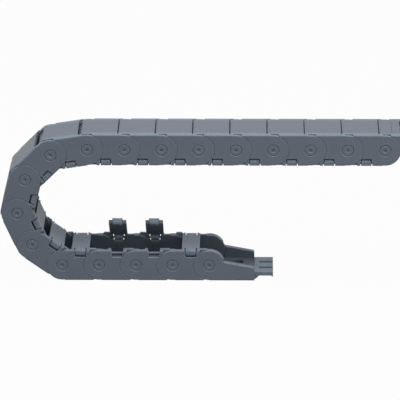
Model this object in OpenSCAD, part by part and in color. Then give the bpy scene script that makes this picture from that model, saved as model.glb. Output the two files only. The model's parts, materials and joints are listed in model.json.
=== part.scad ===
// Cable drag chain: one-piece U links with hinged snap-on crossbars, laid out as a U loop between
// a fixed end bracket on the floor and a moving end bracket at the end of the upper run.
// Every link is drawn in its own frame: hinge at the origin, +X to the next hinge, +Z to the crossbars.

/* [Link] */
// Distance between two hinges
pitch = 30.5; // [30:0.5:34]
// Clear width of the cable channel
channel_w = 28.6; // [22:0.2:60]
// Thickness of the inner ply, which carries the hinge pin
inner_ply = 2.5; // [2.2:0.1:3.2]
// Thickness of the outer ply, which holds the bore for the next link's pin
outer_ply = 2.4; // [2.2:0.1:3.2]
// Side play between the two plies at a hinge
ply_gap = 0.3; // [0.2:0.05:0.5]
// Height of the side plates above the hinge, on the crossbar side
top_h = 13.6; // [13.2:0.1:14]
// Height of the side plates below the hinge, on the floor side
floor_h = 13.7; // [13.4:0.1:14.4]
// Radius of the round tongue at each end of a side plate
tongue_r = 13; // [12.6:0.1:13]
// Gap round a tongue
tongue_gap = 0.3; // [0.2:0.05:0.4]
// Distance from the hinge at which a ply starts behind its neighbour's tongue, on the floor side
ply_start = 4.4; // [3.6:0.1:4.6]
// The same distance on the crossbar side, where plates swing towards each other
horn_start = 7.8; // [7.4:0.1:8.4]
// Distance before the hinge at which the straight edges of a plate end
edge_end = 2; // [1.6:0.1:2.4]
// Height of the hump on a tongue's upper edge
hump_h = 0.8; // [0.4:0.1:1]
// Radius of the long outer edges
edge_r = 1.4; // [0.8:0.1:1.4]

/* [Floor] */
// Thickness of the closed floor
floor_t = 2.2; // [1.6:0.1:2.2]
// How far the floor starts before its hinge
floor_lead = 4.8; // [4:0.1:5]
// Gap between two floors in a straight run
floor_gap = 0.8; // [0.4:0.1:1]
// Thickness of the curved lip that covers that gap in a bend
lip_t = 1.6; // [1.2:0.1:2]
// Gap between the lip and the floor it slides over
lip_gap = 0.3; // [0.2:0.05:0.5]

/* [Hinge] */
// Diameter of the hinge pin
pin_d = 9.4; // [8:0.1:10]
// Radial clearance between pin and bore
pin_clearance = 0.05; // [0.02:0.01:0.1]
// Distance by which a pin end lies below the side plate's face
pin_inset = 0.15; // [0.1:0.05:0.4]
// Diameter of the dimple in the pin's end
dimple_d = 3; // [2:0.1:5]
// Depth of that dimple
dimple_depth = 0.8; // [0.4:0.1:1.4]
// Chamfer on the pin's end and on the bore's mouth, which leaves a ring between them
pin_chamfer = 0.5; // [0.2:0.1:0.6]
// Bend of one hinge at its stop
bend_stop = 36.5; // [36.5:0.5:38]
// Mean radius of the stop lug round the pin
lug_r = 8.6; // [8:0.1:9]
// Radial width of the stop lug
lug_w = 2.6; // [2:0.1:3]
// Height of the stop lug
lug_h = 1.1; // [0.8:0.1:1.3]
// Angle that the stop lug spans
lug_span = 30; // [20:1:40]
// Clearance round the stop lug, in millimetres
lug_clearance = 0.15; // [0.1:0.05:0.2]
// Clearance of the stop lug at its two limits, in degrees
stop_clearance = 0.4; // [0.2:0.1:1]

/* [Crossbar] */
// Width of the crossbar along the chain
crossbar_w = 14.6; // [12:0.2:15]
// Thickness of the crossbar
crossbar_t = 2.3; // [1.8:0.1:2.4]
// Gap between crossbar and side plates
crossbar_gap = 0.2; // [0.15:0.05:0.3]
// Diameter of the rod in each notch that a hook holds
rod_d = 2; // [1.8:0.1:2.2]
// Radial clearance between rod and hook
rod_clearance = 0.05; // [0.02:0.01:0.1]
// Depth of the rod's centre below the top edge
rod_drop = 3.2; // [3.1:0.1:3.3]
// Distance of the rod's centre from the outer face
rod_inset = 2.5; // [2.4:0.1:2.6]
// Width of a hook at the top edge
hook_top_w = 8.6; // [8:0.1:8.8]
// Width of a hook at its lower end
hook_low_w = 6.8; // [6:0.1:7]
// Width of a notch at the top edge
notch_top_w = 10.2; // [9.8:0.1:10.6]
// Width of a notch at its sill
notch_low_w = 8.4; // [8.2:0.1:8.6]
// Depth of a notch
notch_depth = 6.3; // [6.2:0.05:6.5]
// Height of the small nub on the top edge at each side of a notch
nub_h = 0.9; // [0.6:0.1:0.9]
// Length of that nub
nub_l = 1.6; // [1.2:0.1:2]

/* [End brackets] */
// Distance from the hinge to the end of the bracket's walls
bracket_l = 37.5; // [34:0.5:44]
// Distance from the hinge to the screw holes
screw_x = 24; // [23:0.5:25]
// Distance between the two screws
screw_spacing = 16; // [12:0.5:18]
// Diameter of a screw hole
screw_d = 4.5; // [3.4:0.1:5.2]
// Diameter of the recess for a screw's head
head_d = 8.5; // [7.5:0.1:9.5]
// Depth of that recess
head_depth = 2.6; // [1.6:0.1:3]
// Thickness of the bracket's floor
bracket_floor_t = 5.7; // [5:0.1:6.2]
// Thickness of the bracket's walls
bracket_wall = 4.2; // [3.6:0.1:4.8]
// Height of the walls above the hinge beside the round end
wall_high = 2.8; // [1:0.1:4]
// Depth of the walls below the hinge at their far end
wall_low = 2; // [0:0.1:4]

/* [Strain relief] */
// Width of the comb
comb_w = 32; // [26:0.5:34]
// Length of the comb past the bracket
comb_l = 15.5; // [12:0.5:16]
// Thickness of the comb's fingers
comb_t = 3.2; // [2.4:0.1:3.4]
// Height of the comb's upper face above the bracket's base
comb_h = 6.6; // [6:0.1:7]
// Length of the comb's solid root
comb_root = 3.8; // [3:0.1:5]
// Width of the slots between its fingers
comb_slot = 4; // [3:0.1:5]
// Length of the two tabs that plug into the bracket
tab_l = 4.5; // [3:0.1:5]
// Clearance round those tabs
tab_clearance = 0.05; // [0.03:0.01:0.1]

/* [Pose as laid out] */
// Bend at the hinges of the loop, from the lower run to the upper run
loop_bends = [36.5, 30.5, 36.5, 31, 36.5, 9];
// Opening angle of the two crossbars that stand open
crossbar_open = 43.5; // [0:0.5:100]
// Distance of the fixed bracket's hinge from the origin
hinge_x = -24; // [-26:0.5:-22]

/* [Hidden] */
link_count = 17;
links_before_loop = 4;
open_crossbars = [2, 3];
$fn = 48;
eps = 0.01;

// Width stack of a link, measured from the middle plane
half_in = channel_w / 2;
inner_face = half_in + inner_ply;
outer_start = inner_face + ply_gap;
half_out = outer_start + outer_ply;

// The lip slides inside the floor before it and reaches its edge at the full bend
lip_out = floor_h - floor_t - lip_gap;
lip_in = lip_out - lip_t;
lip_reach = atan2(floor_lead + floor_gap, floor_h) + bend_stop + 2;

// The stop lug points back along the link it belongs to
lug_from = 180 - lug_span / 2;

// Crossbar geometry, seen in the link's cross section
crossbar_x = pitch / 2;
rod_y = half_out - rod_inset;
rod_z = top_h - rod_drop;
hook_r = rod_inset - crossbar_gap / 4;
sill_z = top_h - notch_depth;
hook_low_z = rod_z - hook_r;
swing_r = norm([rod_y - half_in, rod_drop]) + 0.1;
slot_flare = 0.15;

// Tabs of the strain relief
tab_w = comb_w / 4;
tab_t = bracket_floor_t / 2;

plastic = [0.36, 0.39, 0.42];
plastic_light = [0.43, 0.46, 0.50];

// Layout along the chain

function bend(i) =
    let (k = i - links_before_loop)
    k < 0 || k >= len(loop_bends) ? 0 : loop_bends[k];
function heading(i) = i == 0 ? 0 : heading(i - 1) + bend(i - 1);
function hinge(i) =
    i == 0 ? [hinge_x, 0, floor_h]
    : hinge(i - 1) + pitch * [-cos(heading(i)), 0, sin(heading(i))];

// Puts a link's own frame at hinge i - 1, turned to that link's heading
module at_link(i)
    translate(hinge(i - 1)) rotate([0, heading(i), 0]) rotate([0, 0, 180]) children();

module both_sides() {
    children();
    mirror([0, 1, 0]) children();
}

// A profile in X and Z as a plate that fills y_from to y_to
module ply(y_from, y_to)
    translate([0, y_to, 0]) rotate([90, 0, 0]) linear_extrude(y_to - y_from) children();

// A profile in Y and Z as a bar along X
module along_x(x_from, x_to)
    translate([x_from, 0, 0]) rotate([90, 0, 90]) linear_extrude(x_to - x_from) children();

// A sector of a ring round the hinge, in X and Z, that fills y_from to y_to
module ring_sector(r_from, r_to, angle_from, span, y_from, y_to)
    translate([0, y_to, 0]) rotate([90, 0, 0]) rotate([0, 0, angle_from])
        rotate_extrude(angle = span) translate([r_from, 0]) square([r_to - r_from, y_to - y_from]);

module round_bar(r, y_from, y_to)
    translate([0, y_to, 0]) rotate([90, 0, 0]) cylinder(r = r, h = y_to - y_from);

module tapered_bar(r_from, r_to, y_from, y_to)
    translate([0, y_to, 0]) rotate([90, 0, 0]) cylinder(r1 = r_to, r2 = r_from, h = y_to - y_from);

// Side plates

// Outline of the outer ply: concave behind the last link's tongue, round about the next hinge
module tongue_profile()
    difference() {
        union() {
            translate([pitch, 0]) circle(tongue_r);
            translate([ply_start, -floor_h])
                square([pitch - edge_end - ply_start, floor_h]);
            translate([horn_start, -1])
                square([pitch - edge_end - horn_start, top_h + 1]);
        }
        circle(tongue_r + tongue_gap);
        polygon([
            [ply_start - 1, -floor_h - 1], [ply_start + 2, -floor_h - 1],
            [ply_start + 1, -floor_h], [ply_start - 1, -floor_h + 1.2]
        ]);
    }

// Outline of the inner ply: the same form, turned end for end, and cut back over the next floor
module pin_profile()
    difference() {
        translate([pitch, 0]) mirror([1, 0]) tongue_profile();
        translate([pitch - floor_lead - floor_gap, -2 * floor_h]) square([pitch, 2 * floor_h]);
    }

module side_plate() {
    ply(half_in, inner_face) pin_profile();
    ply(inner_face, outer_start) intersection() {
        tongue_profile();
        pin_profile();
    }
    ply(outer_start, half_out) tongue_profile();
}

module hinge_pin() {
    pin_end = half_out - pin_inset;
    round_bar(pin_d / 2, inner_face - eps, pin_end - pin_chamfer);
    tapered_bar(pin_d / 2, pin_d / 2 - pin_chamfer, pin_end - pin_chamfer, pin_end);
}

module pin_dimple()
    round_bar(dimple_d / 2, half_out - pin_inset - dimple_depth, half_out + eps);

module pin_bore() {
    bore_r = pin_d / 2 + pin_clearance;
    round_bar(bore_r, outer_start - eps, half_out);
    tapered_bar(bore_r, bore_r + pin_chamfer + eps, half_out - pin_chamfer, half_out + eps);
}

module stop_lug()
    ring_sector(lug_r - lug_w / 2, lug_r + lug_w / 2, lug_from, lug_span,
        inner_face - eps, inner_face + lug_h);

module stop_recess()
    ring_sector(lug_r - lug_w / 2 - lug_clearance, lug_r + lug_w / 2 + lug_clearance,
        lug_from - stop_clearance, lug_span + bend_stop + 2 * stop_clearance,
        outer_start - eps, inner_face + lug_h + lug_clearance);

// Low ridge on the upper edge of the tongue at the side that the crossbar opens about
module hump()
    ply(outer_start, half_out - edge_r / 3) translate([pitch - edge_end, top_h])
        polygon([[-6, -1], [-0.2, -1], [-0.8, hump_h], [-5.4, hump_h]]);

// Cross section with rounded long edges, as a bar that trims the side plates
module edge_section(x_from, x_to, z_top)
    along_x(x_from, x_to) rounded_rectangle(half_out, -floor_h, z_top);

module rounded_rectangle(half_w, z_low, z_high) {
    translate([-half_w, z_low + edge_r]) square([2 * half_w, z_high - z_low - 2 * edge_r]);
    translate([-half_w + edge_r, z_low]) square([2 * half_w - 2 * edge_r, z_high - z_low]);
    for (y = [-1, 1], z = [z_low + edge_r, z_high - edge_r])
        translate([y * (half_w - edge_r), z]) circle(edge_r);
}

// Floor

// Its front edge is round, so that it doesn't stick out of the bend
module floor_front() {
    translate([0, -inner_face, -floor_h])
        cube([ply_start + 1, 2 * inner_face, floor_t]);
    intersection() {
        translate([-floor_lead, -inner_face, -floor_h])
            cube([floor_lead + eps, 2 * inner_face, floor_t]);
        round_bar(floor_h + 0.2, -half_out, half_out);
    }
}

module floor_lip() {
    ring_sector(lip_in, lip_out, -90 - lip_reach, lip_reach - 8, -half_in - eps, half_in + eps);
    translate([-floor_lead + 1.2, -half_in, -floor_h + floor_t - eps])
        cube([floor_lead - 1.2 - lip_in * sin(8), 2 * half_in, lip_gap + lip_t / 2]);
}

module link_floor() {
    floor_front();
    translate([0, -half_in - eps, -floor_h])
        cube([pitch - floor_lead - floor_gap, channel_w + 2 * eps, floor_t]);
    floor_lip();
}

// Crossbar seats

module taper(top_w, low_w, z_low, z_top)
    polygon([[-top_w / 2, z_top], [-low_w / 2, z_low], [low_w / 2, z_low], [top_w / 2, z_top]]);

module notch()
    translate([crossbar_x, 0, 0]) ply(half_in - 1, half_out + 1) {
        taper(notch_top_w, notch_low_w, sill_z, top_h);
        translate([-notch_top_w / 2, top_h - eps]) square([notch_top_w, nub_h + 1]);
    }

module rod()
    translate([crossbar_x - notch_top_w / 2 - 0.3, rod_y, rod_z]) rotate([0, 90, 0])
        cylinder(d = rod_d, h = notch_top_w + 0.6);

module nubs()
    for (side = [0, 1]) translate([crossbar_x, 0, 0]) mirror([side, 0, 0])
        translate([notch_top_w / 2, 0, 0]) ply(rod_y - 0.8, half_out - edge_r)
            polygon([
                [0, top_h - 1], [nub_l, top_h - 1], [nub_l / 4, top_h + nub_h], [0, top_h + nub_h]
            ]);

module link_body() {
    difference() {
        union() {
            intersection() {
                union() {
                    both_sides() side_plate();
                    link_floor();
                }
                edge_section(-pitch, 2 * pitch, top_h);
            }
            both_sides() {
                hinge_pin();
                stop_lug();
            }
            mirror([0, 1, 0]) {
                hump();
                nubs();
            }
        }
        both_sides() {
            pin_dimple();
            notch();
            translate([pitch, 0, 0]) {
                pin_bore();
                stop_recess();
            }
        }
    }
    both_sides() rod();
}

module link(i)
    color(plastic) at_link(i) link_body();

// Crossbars: a plate between the side plates with a hook at each end that clips over a rod

module rod_slot()
    translate([rod_y, rod_z]) {
        circle(rod_d / 2 + rod_clearance);
        polygon([
            [-rod_d / 2 - rod_clearance, 0], [rod_d / 2 + rod_clearance, 0],
            [rod_d / 2 + rod_clearance + slot_flare, -2 * hook_r],
            [-rod_d / 2 - rod_clearance - slot_flare, -2 * hook_r]
        ]);
    }

module hook_section()
    difference() {
        union() {
            translate([rod_y, rod_z]) circle(hook_r);
            translate([half_in - 3, rod_z])
                square([rod_y + hook_r - half_in + 3, rod_drop - edge_r]);
            translate([half_in - 3, rod_z])
                square([rod_y + hook_r - half_in + 3 - edge_r, rod_drop]);
            translate([rod_y + hook_r - edge_r, top_h - edge_r]) circle(edge_r);
        }
        translate([half_in - 4, rod_z - 2 * hook_r])
            square([rod_y - hook_r - half_in + 4, top_h - crossbar_t - rod_z + 2 * hook_r]);
        rod_slot();
    }

module crossbar_plate()
    difference() {
        translate([-crossbar_w / 2, -half_in, top_h - crossbar_t])
            cube([crossbar_w, channel_w, crossbar_t]);
        both_sides() translate([-crossbar_w, rod_y, rod_z]) rotate([0, 90, 0])
            cylinder(r = swing_r, h = 2 * crossbar_w);
    }

module crossbar_body() {
    crossbar_plate();
    intersection() {
        along_x(-crossbar_w, crossbar_w) {
            hook_section();
            mirror([1, 0]) hook_section();
            translate([-half_in + 2, top_h - crossbar_t]) square([channel_w - 4, crossbar_t]);
        }
        ply(-2 * half_out, 2 * half_out) taper(hook_top_w, hook_low_w, hook_low_z, top_h);
    }
}

// An open crossbar turns about the rod on its far side
module crossbar(i) {
    opening = len(search(i, open_crossbars)) > 0 ? crossbar_open : 0;
    color(plastic_light) at_link(i) translate([crossbar_x, -rod_y, rod_z])
        rotate([opening, 0, 0]) translate([0, rod_y, -rod_z]) crossbar_body();
}

// End brackets, drawn with the hinge at the origin and +X away from the chain

// Walls fall from the round end to a low shoulder and slope down to a rounded corner
module wall_profile()
    difference() {
        union() {
            circle(tongue_r);
            polygon([
                [0, -floor_h], [bracket_l, -floor_h], [bracket_l, -wall_low - 2],
                [bracket_l - 2, -wall_low + 0.3], [tongue_r - 1, wall_high], [0, wall_high]
            ]);
            translate([bracket_l - 2, -wall_low - 1.7]) circle(2);
            translate([0, wall_high]) square([tongue_r - 2, 2]);
        }
        translate([tongue_r - 0.2, wall_high + 1.95]) circle(1.8);
    }

// The part of a wall that stands behind the tongue of the other piece at the hinge
module wall_behind_tongue(start)
    difference() {
        wall_profile();
        circle(tongue_r + tongue_gap);
        translate([-pitch, -2 * pitch]) square([pitch + start, 4 * pitch]);
    }

module bracket_floor()
    difference() {
        translate([floor_lead + floor_gap, -inner_face, -floor_h])
            cube([bracket_l - floor_lead - floor_gap, 2 * inner_face, bracket_floor_t]);
        round_bar(lip_out + lip_gap, -half_out, half_out);
    }

module screw_holes()
    for (side = [-1, 1]) translate([screw_x, side * screw_spacing / 2, -floor_h - 1]) {
        cylinder(d = screw_d, h = bracket_floor_t + 2);
        translate([0, 0, bracket_floor_t + 1 - head_depth]) cylinder(d = head_d, h = head_depth + 1);
    }

// Hollows under the bracket's floor, between ribs
module floor_pockets()
    for (side = [-1, 1])
        translate([lip_out + 1, side > 0 ? 1.2 : -half_in + 1, -floor_h - 1])
            cube([screw_x - head_d / 2 - lip_out - 2, half_in - 2.2, bracket_floor_t - 1.2]);

module comb_tabs(spare, reach)
    for (side = [-1, 1])
        translate([bracket_l - tab_l - spare, side * comb_w / 4 - tab_w / 2 - spare,
            -floor_h + bracket_floor_t / 4 - spare])
            cube([tab_l + spare + reach, tab_w + 2 * spare, tab_t + 2 * spare]);

module bracket_cuts() {
    screw_holes();
    floor_pockets();
    comb_tabs(tab_clearance, 1);
}

// Beside the hinge only the outer ply is left, and it holds the bores for the first link's pins
module fixed_bracket_body()
    difference() {
        union() {
            intersection() {
                both_sides() {
                    ply(outer_start, half_out) wall_profile();
                    ply(half_out - bracket_wall, outer_start)
                        wall_behind_tongue(floor_lead + floor_gap);
                }
                edge_section(-pitch, 2 * pitch, 2 * top_h);
            }
            difference() {
                bracket_floor();
                both_sides() round_bar(tongue_r + tongue_gap, half_in - ply_gap, outer_start);
            }
        }
        bracket_cuts();
        both_sides() {
            pin_bore();
            mirror([1, 0, 0]) stop_recess();
        }
    }

// Here the inner ply reaches round the hinge and carries the pins, the stop lugs and the lip
module moving_bracket_body()
    difference() {
        union() {
            intersection() {
                both_sides() {
                    ply(half_out - bracket_wall, half_out) wall_behind_tongue(ply_start);
                    ply(half_in, inner_face) intersection() {
                        wall_profile();
                        translate([-pitch, -2 * pitch]) square([pitch + tongue_r + 6, 4 * pitch]);
                    }
                }
                edge_section(-pitch, 2 * pitch, 2 * top_h);
            }
            bracket_floor();
            floor_front();
            floor_lip();
            both_sides() {
                hinge_pin();
                stop_lug();
            }
        }
        bracket_cuts();
        both_sides() pin_dimple();
    }

// Strain relief: a comb whose fingers take cable ties
module comb_body() {
    z_top = -floor_h + comb_h;
    x_end = bracket_l + comb_l;
    root = bracket_l + comb_root;
    finger_w = (comb_w - 2 * comb_slot) / 3;
    difference() {
        ply(-comb_w / 2, comb_w / 2)
            polygon([
                [bracket_l, z_top], [x_end, z_top], [x_end, z_top - comb_t - 0.8],
                [x_end - 1.2, z_top - comb_t - 0.8], [x_end - 1.2, z_top - comb_t],
                [root, z_top - comb_t], [bracket_l + 1, -floor_h + 0.4], [bracket_l, -floor_h + 0.4]
            ]);
        for (side = [-1, 1])
            translate([root, side * (finger_w + comb_slot) / 2 - comb_slot / 2, -floor_h])
                cube([comb_l, comb_slot, 2 * floor_h]);
    }
    comb_tabs(0, 0.5);
}

// The fixed bracket faces the chain the other way round
module at_fixed_end() translate(hinge(0)) children();
module at_moving_end() at_link(link_count + 1) children();

module fixed_end_bracket() color(plastic) at_fixed_end() fixed_bracket_body();
module fixed_strain_relief() color(plastic_light) at_fixed_end() comb_body();
module moving_end_bracket() color(plastic) at_moving_end() moving_bracket_body();
module moving_strain_relief() color(plastic_light) at_moving_end() comb_body();

fixed_end_bracket();
fixed_strain_relief();
for (i = [1:link_count]) {
    number = str(i < 10 ? "0" : "", i);
    link(i);
    crossbar(i);
}
moving_end_bracket();
moving_strain_relief();
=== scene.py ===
import json
import math

import bpy
from mathutils import Matrix, Vector


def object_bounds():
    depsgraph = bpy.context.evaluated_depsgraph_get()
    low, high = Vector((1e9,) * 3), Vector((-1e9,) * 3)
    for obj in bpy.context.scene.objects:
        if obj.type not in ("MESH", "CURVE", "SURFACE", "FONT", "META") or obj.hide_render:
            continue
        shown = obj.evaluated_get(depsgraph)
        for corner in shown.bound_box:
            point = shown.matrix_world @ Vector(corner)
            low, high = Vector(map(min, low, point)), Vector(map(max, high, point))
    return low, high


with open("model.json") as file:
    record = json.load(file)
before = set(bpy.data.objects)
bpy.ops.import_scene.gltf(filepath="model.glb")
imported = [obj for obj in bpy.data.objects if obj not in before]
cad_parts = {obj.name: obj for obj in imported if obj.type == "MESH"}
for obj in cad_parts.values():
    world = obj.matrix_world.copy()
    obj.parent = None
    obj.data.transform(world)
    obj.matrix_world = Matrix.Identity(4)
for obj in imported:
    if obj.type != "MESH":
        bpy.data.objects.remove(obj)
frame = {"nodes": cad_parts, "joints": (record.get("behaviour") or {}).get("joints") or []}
cad_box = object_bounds()
node = frame["nodes"]

# The camera stands well back with a long lens, a little above the chain and almost square to its
# side, so that the lower run, the loop and the upper run are all seen in one plain side view.
TURN, TILT, ROLL = (math.radians(a) for a in (-1.04, 22.03, -0.24))
AIM = Vector((-0.03172, 0.0, 0.06458))
DISTANCE = 2.7319
forward = Vector((
    math.sin(TURN) * math.cos(TILT), math.cos(TURN) * math.cos(TILT), -math.sin(TILT)))
camera = bpy.data.objects.new("camera", bpy.data.cameras.new("camera"))
camera.data.sensor_width = 36.0
camera.data.lens = 296.5
camera.matrix_world = (
    Matrix.Translation(AIM - DISTANCE * forward)
    @ forward.to_track_quat("-Z", "Y").to_matrix().to_4x4()
    @ Matrix.Rotation(ROLL, 4, "Z")
)
bpy.context.scene.collection.objects.link(camera)
bpy.context.scene.camera = camera


# Links: glass-filled nylon, moulded in one shot as a U with its hinge pins, stop lugs and the rods
# for the crossbars. The outer faces come matt from a spark-eroded mould, the channel comes smooth,
# and each link snaps over the pins of the next.
GRAIN_DEPTH = 0.00003
NYLON_IOR = 1.48
LINK_GREY = (0.104, 0.119, 0.145, 1.0)
# Paler grey for the rubbed streaks, which are real wear, and for painted highlights along the
# edges.
LINK_RUB_AND_HIGHLIGHT = (0.265, 0.300, 0.340, 1.0)
LINK_DUST = (0.133, 0.152, 0.183, 1.0)
# Painted shade: the dark grey the channel is coloured with, standing in for the shade inside it.
CHANNEL_SHADE = (0.062, 0.072, 0.088, 1.0)


class Wire:
    """A socket of one material. Plain arithmetic on it adds Math nodes."""

    def __init__(self, tree, socket=None):
        self.tree, self.socket = tree, socket

    def node(self, kind, settings=None, sockets=None, out=0):
        made = self.tree.nodes.new("ShaderNode" + kind)
        for name, value in (settings or {}).items():
            setattr(made, name, value)
        for key, value in (sockets or {}).items():
            if isinstance(value, Wire):
                self.tree.links.new(value.socket, made.inputs[key])
            else:
                made.inputs[key].default_value = value
        return Wire(self.tree, made.outputs[out] if len(made.outputs) else None)

    def math(self, operation, *terms):
        return self.node("Math", {"operation": operation}, dict(enumerate(terms)))

    def __add__(self, other):
        return self.math("ADD", self, other)

    def __sub__(self, other):
        return self.math("SUBTRACT", self, other)

    def __rsub__(self, other):
        return self.math("SUBTRACT", other, self)

    def __mul__(self, other):
        return self.math("MULTIPLY", self, other)

    __radd__ = __add__
    __rmul__ = __mul__

    def __abs__(self):
        return self.math("ABSOLUTE", self)

    def ramp(self, low, high):
        """0 below low, 1 above high, straight between them."""
        return self.node("MapRange", {"clamp": True}, {0: self, 1: low, 2: high, 3: 0.0, 4: 1.0})

    def noise(self, scale, detail=2.0, roughness=0.5):
        return self.node("TexNoise", None, {
            "Vector": self, "Scale": scale, "Detail": detail, "Roughness": roughness})

    def parts(self):
        split = self.node("SeparateXYZ", None, {0: self})
        return [Wire(self.tree, s) for s in split.socket.node.outputs]

    def mix(self, first, second, share):
        """The first colour, with that share of the second."""
        return self.node("Mix", {"data_type": "RGBA"}, {0: share, 6: first, 7: second}, out=2)


def new_finish(name):
    made = bpy.data.materials.new(name)
    made.use_nodes = True
    made.node_tree.nodes.clear()
    return made, Wire(made.node_tree)


def seat(w, place, heading):
    """Coordinates of the piece's own frame: X along the chain, Y across it, Z to the crossbars."""
    turned = Matrix.Rotation(math.pi, 3, "Z") @ Matrix.Rotation(-heading, 3, "Y")
    here = w.node("TexCoord", None, None, out=3)
    return w.node("Mapping", {"vector_type": "POINT"}, {
        "Vector": here, "Location": -(turned @ Vector(place)), "Rotation": (0.0, -heading, math.pi),
    })


def disc(x, y, centre, radius, soft=0.00015):
    """1 inside a round mark of that radius, 0 outside."""
    away = x.node("CombineXYZ", None, {0: x - centre[0], 1: y - centre[1], 2: 0.0})
    length = x.node("VectorMath", {"operation": "LENGTH"}, {0: away}, out=1)
    return 1 - length.ramp(radius - soft, radius + soft)


def bevel_with_highlight_mask(w, radius):
    """Where an edge is, as the mask of a painted highlight, and the normal with that edge rounded
    off.
    """
    soft = w.node("Bevel", {"samples": 6}, {"Radius": radius})
    flat = w.node("NewGeometry", None, None, out=1)
    dot = w.node("VectorMath", {"operation": "DOT_PRODUCT"}, {0: soft, 1: flat}, out=1)
    return 1 - dot.ramp(0.80, 0.995), soft


def close_finish(w, colour, roughness, grain, normal):
    """The shader of matt nylon, with its grain as bump."""
    bump = w.node("Bump", None, {
        "Height": grain, "Normal": normal, "Distance": GRAIN_DEPTH, "Strength": 1.0})
    shader = w.node("BsdfPrincipled", None, {
        "Base Color": colour, "Roughness": roughness, "Normal": bump, "IOR": NYLON_IOR,
    })
    w.node("OutputMaterial", None, {0: shader})


def link_finish(name, place, heading, half=0.0143, marks=((0.0095, 0.0088), (0.0215, 0.0088))):
    """Outside matt and rubbed, with painted highlights on its edges; smooth in the channel of that
    half width, whose dark colour is painted shade, with the round marks of the ejector pins on its
    floor."""
    made, w = new_finish(name)
    local = seat(w, place, heading)
    x, y, _ = local.parts()
    across = abs(y)
    painted_edge_light, rounded = bevel_with_highlight_mask(w, 0.0008)
    # Mask of the channel, which is painted dark as shade and also left smoother.
    shaded_channel = 1 - across.ramp(half + 0.00005, half + 0.00025)
    cloud = local.noise(55.0, 3.0)
    speck = local.noise(2600.0, 2.0, 0.7)
    streak = w.node("VectorMath", {"operation": "MULTIPLY"}, {0: local, 1: (60.0, 900.0, 900.0)})
    rubbed = streak.noise(1.0, 3.0, 0.6).ramp(0.60, 0.78) * (1 - shaded_channel)
    base = w.mix(LINK_GREY, LINK_DUST, cloud.ramp(0.35, 0.75) * 0.45)
    # Edges painted paler as highlight; the rubbed streaks are real wear.
    base = w.mix(base, LINK_RUB_AND_HIGHLIGHT, painted_edge_light * 0.80 + rubbed * 0.12)
    # Painted shade: the channel inside that half width is mixed towards a dark grey.
    base = w.mix(base, CHANNEL_SHADE, shaded_channel * 0.85)
    dots = disc(x, across, marks[0], 0.0016) + disc(x, across, marks[1], 0.0016)
    rough = 0.50 + cloud * 0.10 + speck * 0.08 - painted_edge_light * 0.10 - shaded_channel * 0.14 + rubbed * 0.06
    grain = speck * (1 - shaded_channel * 0.7) - dots * shaded_channel * 3.0
    close_finish(w, base, rough, grain, rounded)
    return made


hinge = [Vector(j["pos_m"]) for j in sorted(frame["joints"], key=lambda j: j["name"])
         if j["name"].startswith("bend_")]


def heading_of(k):
    """The angle by which link k is turned from the first one."""
    along = hinge[k] - hinge[k - 1]
    return math.atan2(along.z, -along.x)


def wear(name, finish):
    """Give the piece of that name this one material."""
    node[name].data.materials.clear()
    node[name].data.materials.append(finish)


LINKS = range(1, len(hinge))
for k in LINKS:
    wear(f"link_{k:02d}", link_finish(f"link_plastic_{k:02d}", hinge[k - 1], heading_of(k)))


# Crossbars: the same nylon in a paler batch, short bars with a hook at both ends. They are pressed
# over the rods of a link from above, and open round either rod when the other hook is levered off.
BAR_GREY = (0.116, 0.137, 0.163, 1.0)
# Paler grey for random mottling and for painted highlights along the edges.
BAR_MOTTLE_AND_HIGHLIGHT = (0.290, 0.322, 0.360, 1.0)


def crossbar_finish(name, place, heading, middle=0.01525):
    """Matt all over, with painted highlights on its edges and the mark of the mould's gate at that
    distance along the chain.
    """
    made, w = new_finish(name)
    local = seat(w, place, heading)
    x, y, _ = local.parts()
    painted_edge_light, rounded = bevel_with_highlight_mask(w, 0.0003)
    cloud = local.noise(70.0, 2.0)
    speck = local.noise(2400.0, 2.0, 0.7)
    # Edges painted paler as highlight; the cloud is random tone.
    base = w.mix(BAR_GREY, BAR_MOTTLE_AND_HIGHLIGHT, painted_edge_light * 0.45 + cloud.ramp(0.45, 0.80) * 0.12)
    gate = disc(x, y, (middle, 0.0), 0.0009)
    rough = 0.50 + speck * 0.12 - painted_edge_light * 0.08
    close_finish(w, base, rough, speck - gate * 2.5, rounded)
    return made


for k in LINKS:
    wear(f"crossbar_{k:02d}", crossbar_finish(
        f"crossbar_plastic_{k:02d}", hinge[k - 1], heading_of(k)))


# End brackets: moulded like the links, with thicker walls and a floor that is screwed down. The
# fixed one stands on the machine's bed, the moving one hangs from the carriage.
# Half width of the bracket's channel, painted dark as shade like a link's, and the places of its
# ejector marks.
BRACKET_HALF = 0.0154
BRACKET_MARKS = ((-0.0180, 0.0110), (-0.0320, 0.0110))
for name, place in (("fixed_end_bracket", hinge[0]), ("moving_end_bracket", hinge[-1])):
    wear(name, link_finish(name + "_plastic", place, math.pi, BRACKET_HALF, BRACKET_MARKS))


# Strain reliefs: combs of the paler nylon, plugged into the brackets with two tabs. Cable ties go
# round their fingers, which end in a small lip.
COMB_MIDDLE = 0.040
for name, place in (("fixed_strain_relief", hinge[0]), ("moving_strain_relief", hinge[-1])):
    wear(name, crossbar_finish(name + "_plastic", place, math.pi, COMB_MIDDLE))


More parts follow.
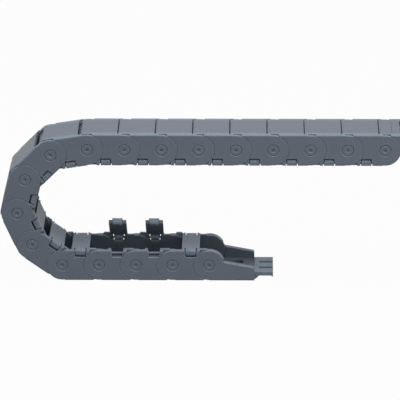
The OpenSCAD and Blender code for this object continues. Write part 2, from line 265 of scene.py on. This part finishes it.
# Studio: a plain pale floor under the chain, a large soft lamp overhead, a wide one at the front
# and an even pale room round them.
def plain_white(w, lit, white, level):
    """The lit shader, hidden to that level by plain white where it is looked at directly."""
    rays = w.node("LightPath").socket.node.outputs
    clear = Wire(w.tree, rays["Is Camera Ray"]) + Wire(w.tree, rays["Is Glossy Ray"])
    clear = clear + Wire(w.tree, rays["Is Transmission Ray"])
    clear = w.math("MINIMUM", clear, 1.0)
    return w.node("MixShader", None, {0: clear * level, 1: lit, 2: white})


REACH = 9.0
FLOOR_GAP = 0.0002
floor_finish, w = new_finish("floor_paint")
pale = w.node("BsdfDiffuse", None, {"Color": (0.22, 0.22, 0.225, 1.0)})
bright = w.node("Emission", None, {"Color": (1.0, 1.0, 1.0, 1.0), "Strength": 1.0})
w.node("OutputMaterial", None, {0: plain_white(w, pale, bright, 0.97)})
floor_mesh = bpy.data.meshes.new("floor")
floor_mesh.from_pydata(
    [(-REACH, -REACH, 0), (REACH, -REACH, 0), (REACH, REACH, 0), (-REACH, REACH, 0)],
    [], [(0, 1, 2, 3)])
floor = bpy.data.objects.new("floor", floor_mesh)
floor.location.z = cad_box[0][2] - FLOOR_GAP
floor_mesh.materials.append(floor_finish)
bpy.context.scene.collection.objects.link(floor)

world = bpy.data.worlds.new("room")
world.use_nodes = True
world.node_tree.nodes.clear()
w = Wire(world.node_tree)
room = w.node("Background", None, {"Color": (0.88, 0.94, 1.0, 1.0), "Strength": 0.40})
white = w.node("Background", None, {"Color": (1.0, 1.0, 1.0, 1.0), "Strength": 1.0})
w.node("OutputWorld", None, {0: plain_white(w, room, white, 1.0)})
bpy.context.scene.world = world

LAMP_COLOUR = (0.90, 0.955, 1.0)
for name, place, aim, size, power in (
    ("overhead", (-0.10, -0.15, 1.25), (0.0, 0.0, 0.05), 0.9, 20.5),
    ("front", (0.20, -0.70, 0.66), (-0.02, 0.0, 0.10), 0.7, 1.9),
    ("side", (1.30, -0.45, 0.50), (-0.1, 0.0, 0.05), 0.5, 5.0),
):
    lamp = bpy.data.lights.new(name, "AREA")
    lamp.shape = "DISK"
    lamp.size = size
    lamp.energy = power
    lamp.color = LAMP_COLOUR
    stand = bpy.data.objects.new(name, lamp)
    stand.location = place
    stand.rotation_euler = (Vector(aim) - Vector(place)).to_track_quat("-Z", "Y").to_euler()
    bpy.context.scene.collection.objects.link(stand)

bpy.context.scene.view_settings.view_transform = "Standard"
